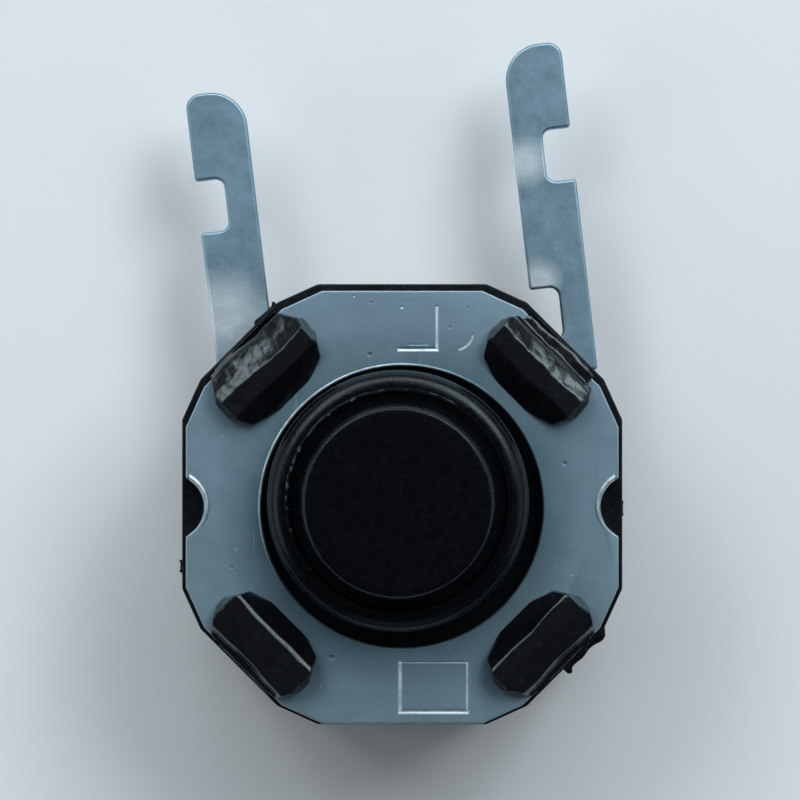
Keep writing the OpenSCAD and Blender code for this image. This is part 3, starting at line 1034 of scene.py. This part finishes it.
class SWITCH_OT_button(bpy.types.Operator):
    """Build the button with its shoulder, lip, cone, flange and foot"""

    bl_idname = "switch.button"
    bl_label = "Button"

    def execute(self, context):
        sizes = Sizes(context.scene.switch.button)
        flange_top = BASE_TOP - FLANGE_GAP
        shoulder = COVER_TOP + sizes.shoulder_height
        stem = add_rod("button_top", sizes.stem_radius, flange_top, shoulder, sides=256)
        self.shape_top(stem, sizes, shoulder)
        self.rag_lip(stem, sizes, shoulder)
        place_piece(stem, *STEM_CENTRE)
        flange = (BUTTON_HIGH.x - BUTTON_LOW.x) / 2
        keys = (BUTTON_HIGH.y - BUTTON_LOW.y) / 2
        flange_low = flange_top - FLANGE_DEPTH
        skirt = add_rod("button_flange", flange, flange_low, flange_top, STEM_CENTRE, sides=128)
        x, y = STEM_CENTRE
        bar = add_block("keys", (x - KEY_HALF, y - keys, flange_low), (x + KEY_HALF, y + keys, flange_top))
        combine(skirt, bar, "UNION")
        foot = add_rod("foot", FOOT_RADIUS, BUTTON_LOW.z, flange_low + 0.1, sides=64)
        combine(skirt, foot, "UNION")
        round_edges(skirt, 0.03, 2, 40)
        finish = plastic_finish("button_plastic", sizes.colour, 0.25, 0.30, 0.08)
        finish_piece(stem, finish, "push_button", "button_plastic", "button")
        finish_piece(skirt, finish, "push_button", "button_plastic")
        return {"FINISHED"}

    def shape_top(self, stem, sizes, shoulder):
        """Insets and lifts the upper face into shoulder, lip, ring, cone and top, then rounds the edges."""
        top = BUTTON_HIGH.z
        lip = sizes.stem_radius - sizes.shoulder_round
        foot = lip - sizes.lip_width - sizes.cone_land
        share = (foot - sizes.cone_taper) / foot
        with editing(stem, "FACE"):
            pick(stem, "FACE", lambda f: f.normal.z > 0.9)
            bpy.ops.mesh.inset(thickness=sizes.shoulder_round)
            bpy.ops.mesh.extrude_region_move(TRANSFORM_OT_translate={"value": (0, 0, LIP_RISE)})
            bpy.ops.mesh.inset(thickness=sizes.lip_width)
            bpy.ops.mesh.extrude_region_move(
                TRANSFORM_OT_translate={"value": (0, 0, -LIP_RISE - sizes.ring_depth)})
            bpy.ops.mesh.inset(thickness=sizes.cone_land)
            bpy.ops.mesh.extrude_region_move(
                TRANSFORM_OT_translate={"value": (0, 0, top - shoulder + sizes.ring_depth)})
            bpy.ops.transform.resize(value=(share, share, 1), center_override=(0, 0, top))
        rings = [
            (sizes.stem_radius, shoulder, sizes.shoulder_round - 0.02, 10),
            (lip, shoulder + LIP_RISE, LIP_RISE * 0.7, 2),
            (lip - sizes.lip_width, shoulder - sizes.ring_depth, 0.05, 3),
            (foot * share, top, sizes.top_round, 4),
        ]
        for radius, height, width, segments in rings:
            bevel_edges(stem, lambda e: all(abs(v.co.z - height) < TOUCH and
                                            abs(v.co.xy.length - radius) < 10 * TOUCH for v in e.verts),
                        width, segments)
        with editing(stem, "FACE"):
            pick(stem, "FACE", lambda f: f.normal.z > 0.9 and f.calc_center_median().z > top - TOUCH)
            for thickness in (0.1, 0.3, 0.4):
                bpy.ops.mesh.inset(thickness=thickness)

    def rag_lip(self, stem, sizes, shoulder):
        """Raises the lip unevenly, most on the left, as a worn mould does."""
        high = sizes.stem_radius - sizes.shoulder_round
        low = high - sizes.lip_width
        for vertex in stem.data.vertices:
            spread = vertex.co.xy.length
            if low - 0.01 < spread < high + 0.01 and shoulder + LIP_RISE / 2 < vertex.co.z < shoulder + 0.1:
                angle = math.atan2(vertex.co.y, vertex.co.x)
                left = (0.5 - 0.5 * math.cos(angle - math.radians(LIP_LOW_SIDE))) ** 2
                wave = noise.noise(Vector((angle * 7, 2.0, 0)))
                wave += 0.7 * noise.noise(Vector((angle * 26, 5.0, 0)))
                vertex.co.z = shoulder + (vertex.co.z - shoulder) * (0.1 + 0.9 * left)
                vertex.co.z += sizes.lip_height * left * max(0.0, 0.4 + 0.6 * wave)
                vertex.co.xy = vertex.co.xy * (1 - LIP_WANDER * left * wave)


class SWITCH_OT_dome(bpy.types.Operator):
    """Build the snap dome under the button"""

    bl_idname = "switch.dome"
    bl_label = "Snap dome"

    def execute(self, context):
        sizes = Sizes(context.scene.switch.dome)
        rim = DOME_HIGH.x
        rise = DOME_HIGH.z - DOME_LOW.z - sizes.sheet
        radius = (rim ** 2 + rise ** 2) / (2 * rise)
        clear_selection()
        bpy.ops.mesh.primitive_uv_sphere_add(segments=96, ring_count=192, radius=radius,
                                             location=(0, 0, DOME_LOW.z + rise - radius))
        dome = name_piece("dome")
        with editing(dome):
            bpy.ops.mesh.select_all(action="SELECT")
            bpy.ops.mesh.bisect(plane_co=(0, 0, DOME_LOW.z), plane_no=(0, 0, 1), clear_inner=True,
                                threshold=1e-5)
        mend(dome)
        take(dome)
        wall = dome.modifiers.new("sheet", "SOLIDIFY")
        wall.thickness = sizes.sheet
        wall.offset = 1
        bpy.ops.object.modifier_apply(modifier=wall.name)
        slice_off(dome, (0, 0, DOME_LOW.z), (0, 0, -1))
        finish = spring_finish("spring_metal", sizes.colour, 0.28)
        finish_piece(dome, finish, "base", "spring_metal", "snap_dome")
        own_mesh(dome)
        return {"FINISHED"}


# Contact arms: half width, and the turn of each about the middle in degrees
ARM_HALF = 0.25
MIDDLE_TURN = 42.5
RING_TURN = 137

# Where the arms end, how far the strips reach into the wall, and the rounding inside the notches
ARM_REACH = 3.0
STRIP_ROOT = 0.7
NOTCH_ROUND = 0.13

# Middle contact: radius of its pad and of its point; ring contact: how far past the dome it reaches, its
# width, and where it is cut short
PAD_RADIUS = 0.5
POINT_RADIUS = 0.25
RING_PAST = 0.1
RING_WIDTH = 0.45
RING_END = -0.7
RING_ARM_START = 1.9


class SWITCH_OT_leads(bpy.types.Operator):
    """Build the two notched leads with their contacts"""

    bl_idname = "switch.leads"
    bl_label = "Leads"

    def execute(self, context):
        sizes = Sizes(context.scene.switch.leads)
        finish = lead_finish("lead_metal", sizes.colour, 0.48)
        for name, node, side, lean, reach in (
            ("right_lead", "right_terminal", 1, sizes.right_lean, sizes.right_length),
            ("left_lead", "left_terminal", -1, sizes.left_lean, sizes.left_length),
        ):
            strip = self.strip(name, reach, side, sizes)
            place_piece(strip, side * sizes.pitch / 2, LEAD_ROOT, lean)
            (self.middle_contact if side > 0 else self.ring_contact)(strip)
            finish_piece(strip, finish, "base", "lead_metal", node, smooth=40)
        return {"FINISHED"}

    def strip(self, name, reach, side, sizes):
        """A strip along +Y with its notches, outer edge towards the side given."""
        low, high, wide = LEFT_LOW.z, LEFT_HIGH.z, sizes.width / 2
        strip = add_block(name, (-wide, -STRIP_ROOT, low), (wide, reach, high))
        for edge_x, width in ((side * wide, sizes.outer_round), (-side * wide, sizes.inner_round)):
            bevel_edges(strip, lambda e: all(abs(v.co.x - edge_x) < TOUCH and abs(v.co.y - reach) < TOUCH
                                             for v in e.verts), width, 10)
        for edge, start in ((side, sizes.outer_cut), (-side, sizes.inner_cut)):
            inner, outer = edge * (wide - sizes.cut_depth), edge * (wide + 0.5)
            cut = add_block("cut", (min(inner, outer), reach - start - sizes.cut_length, low - PAST),
                            (max(inner, outer), reach - start, high + PAST))
            bevel_edges(cut, lambda e: all(abs(v.co.x - inner) < TOUCH for v in e.verts)
                        and abs(e.verts[0].co.z - e.verts[1].co.z) > PAST, NOTCH_ROUND, 6)
            combine(strip, cut)
        round_edges(strip, sizes.edge_round, 3, 40)
        return strip

    def middle_contact(self, strip):
        """Arm, pad and raised point under the dome's crown."""
        low, high = LEFT_LOW.z, LEFT_HIGH.z
        arm = add_block("arm", (0, -ARM_HALF, low + 0.01), (ARM_REACH, ARM_HALF, high - 0.1))
        place_piece(arm, 0, 0, math.radians(MIDDLE_TURN))
        combine(strip, arm, "UNION")
        pad = add_rod("pad", PAD_RADIUS, low, high, sides=64)
        combine(strip, pad, "UNION")
        point = add_rod("point", POINT_RADIUS, high - 0.05, RIGHT_HIGH.z, sides=48)
        round_edges(point, 0.04, 3, 40)
        combine(strip, point, "UNION")

    def ring_contact(self, strip):
        """Half ring under the dome's rim, joined to the lead by a short arm."""
        low, high = LEFT_LOW.z, LEFT_HIGH.z
        outer = DOME_HIGH.x + RING_PAST
        ring = add_rod("ring", outer, low + 0.005, high - 0.001, sides=96)
        combine(ring, add_rod("bore", outer - RING_WIDTH, low - PAST, high + PAST, sides=96))
        slice_off(ring, (RING_END, 0, 0), (1, 0, 0))
        combine(strip, ring, "UNION")
        arm = add_block("arm", (RING_ARM_START, -ARM_HALF, low + 0.01), (ARM_REACH, ARM_HALF, high - 0.01))
        place_piece(arm, 0, 0, math.radians(RING_TURN))
        combine(strip, arm, "UNION")


# Soft boxes: name, place, width and depth in metres, the power they share in and their share of it
LAMPS = [
    ("key_light", (0.0, 0.19, 0.14), 0.30, 0.09, "key_power", 1.0),
    ("left_key", (-0.115, 0.115, 0.18), 0.09, 0.09, "key_power", 0.32),
    ("right_key", (0.115, 0.115, 0.18), 0.11, 0.11, "key_power", 0.65),
    ("left_fill", (-0.17, 0.0, 0.10), 0.14, 0.10, "fill_power", 1.2),
    ("right_fill", (0.17, 0.0, 0.10), 0.14, 0.10, "fill_power", 0.6),
    ("front_fill", (0.0, -0.17, 0.10), 0.14, 0.10, "fill_power", 0.25),
]

# Colours of the lamps and of the light from all round
LAMP_COLOUR = (0.90, 0.97, 1.0)
SKY_COLOUR = (0.80, 0.90, 1.0)


class SWITCH_OT_stage(bpy.types.Operator):
    """Build the floor, the lights and the camera"""

    bl_idname = "switch.stage"
    bl_label = "Stage"

    def execute(self, context):
        settings = context.scene.switch.stage
        clear_selection()
        bpy.ops.mesh.primitive_plane_add(size=2.0)
        floor = context.active_object
        floor.name = "floor"
        floor.data.materials.append(floor_finish("floor_sheet", settings.floor_colour))
        self.camera(context.scene, settings)
        for name, spot, width, depth, kind, share in LAMPS:
            self.light(name, spot, width, depth, getattr(settings, kind) * share)
        world = bpy.data.worlds.new("studio")
        world.use_nodes = True
        shade = world.node_tree.nodes["Background"]
        shade.inputs["Color"].default_value = tint(SKY_COLOUR)
        shade.inputs["Strength"].default_value = settings.sky
        context.scene.world = world
        context.scene.view_settings.view_transform = "Standard"
        return {"FINISHED"}

    def camera(self, scene, settings):
        """A long lens straight above, off to the leads' side."""
        clear_selection()
        height = settings.camera_height + COVER_TOP * MM
        bpy.ops.object.camera_add(location=(settings.camera_x, settings.camera_y, height), rotation=(0, 0, 0))
        camera = bpy.context.active_object
        camera.name = "camera"
        camera.data.lens = camera.data.sensor_width * settings.camera_height / settings.view_width
        camera.data.clip_start = 0.005
        camera.data.clip_end = 5.0
        scene.camera = camera

    def light(self, name, spot, width, depth, energy):
        """A soft box that faces the switch."""
        clear_selection()
        facing = Vector(spot).to_track_quat("Z", "Y").to_euler()
        bpy.ops.object.light_add(type="AREA", location=spot, rotation=facing)
        lamp = bpy.context.active_object
        lamp.name = name
        lamp.data.shape = "RECTANGLE"
        lamp.data.size = width
        lamp.data.size_y = depth
        lamp.data.energy = energy
        lamp.data.color = LAMP_COLOUR


MAKERS = [SWITCH_OT_housing, SWITCH_OT_stakes, SWITCH_OT_cover, SWITCH_OT_button, SWITCH_OT_dome,
          SWITCH_OT_leads, SWITCH_OT_stage]


class SWITCH_PT_panel(bpy.types.Panel):
    """Lists what can be built and its sizes"""

    bl_idname = "SWITCH_PT_panel"
    bl_label = "Push Button Switch"
    bl_space_type = "VIEW_3D"
    bl_region_type = "UI"
    bl_category = "Switch"

    def draw(self, context):
        settings = context.scene.switch
        for maker in MAKERS:
            self.layout.operator(maker.bl_idname)
        for group in SETTINGS:
            box = self.layout.box()
            box.label(text=group.title())
            for key in getattr(settings, group).bl_rna.properties.keys():
                if key not in ("rna_type", "name"):
                    box.prop(getattr(settings, group), key)


CLASSES = [*SETTINGS.values(), SwitchSettings, *MAKERS, SWITCH_PT_panel]


def register():
    for item in CLASSES:
        bpy.utils.register_class(item)
    bpy.types.Scene.switch = PointerProperty(type=SwitchSettings)


def unregister():
    del bpy.types.Scene.switch
    for item in reversed(CLASSES):
        bpy.utils.unregister_class(item)


def main():
    register()
    for maker in MAKERS:
        group, action = maker.bl_idname.split(".")
        getattr(getattr(bpy.ops, group), action)()


if __name__ == "__main__":
    main()
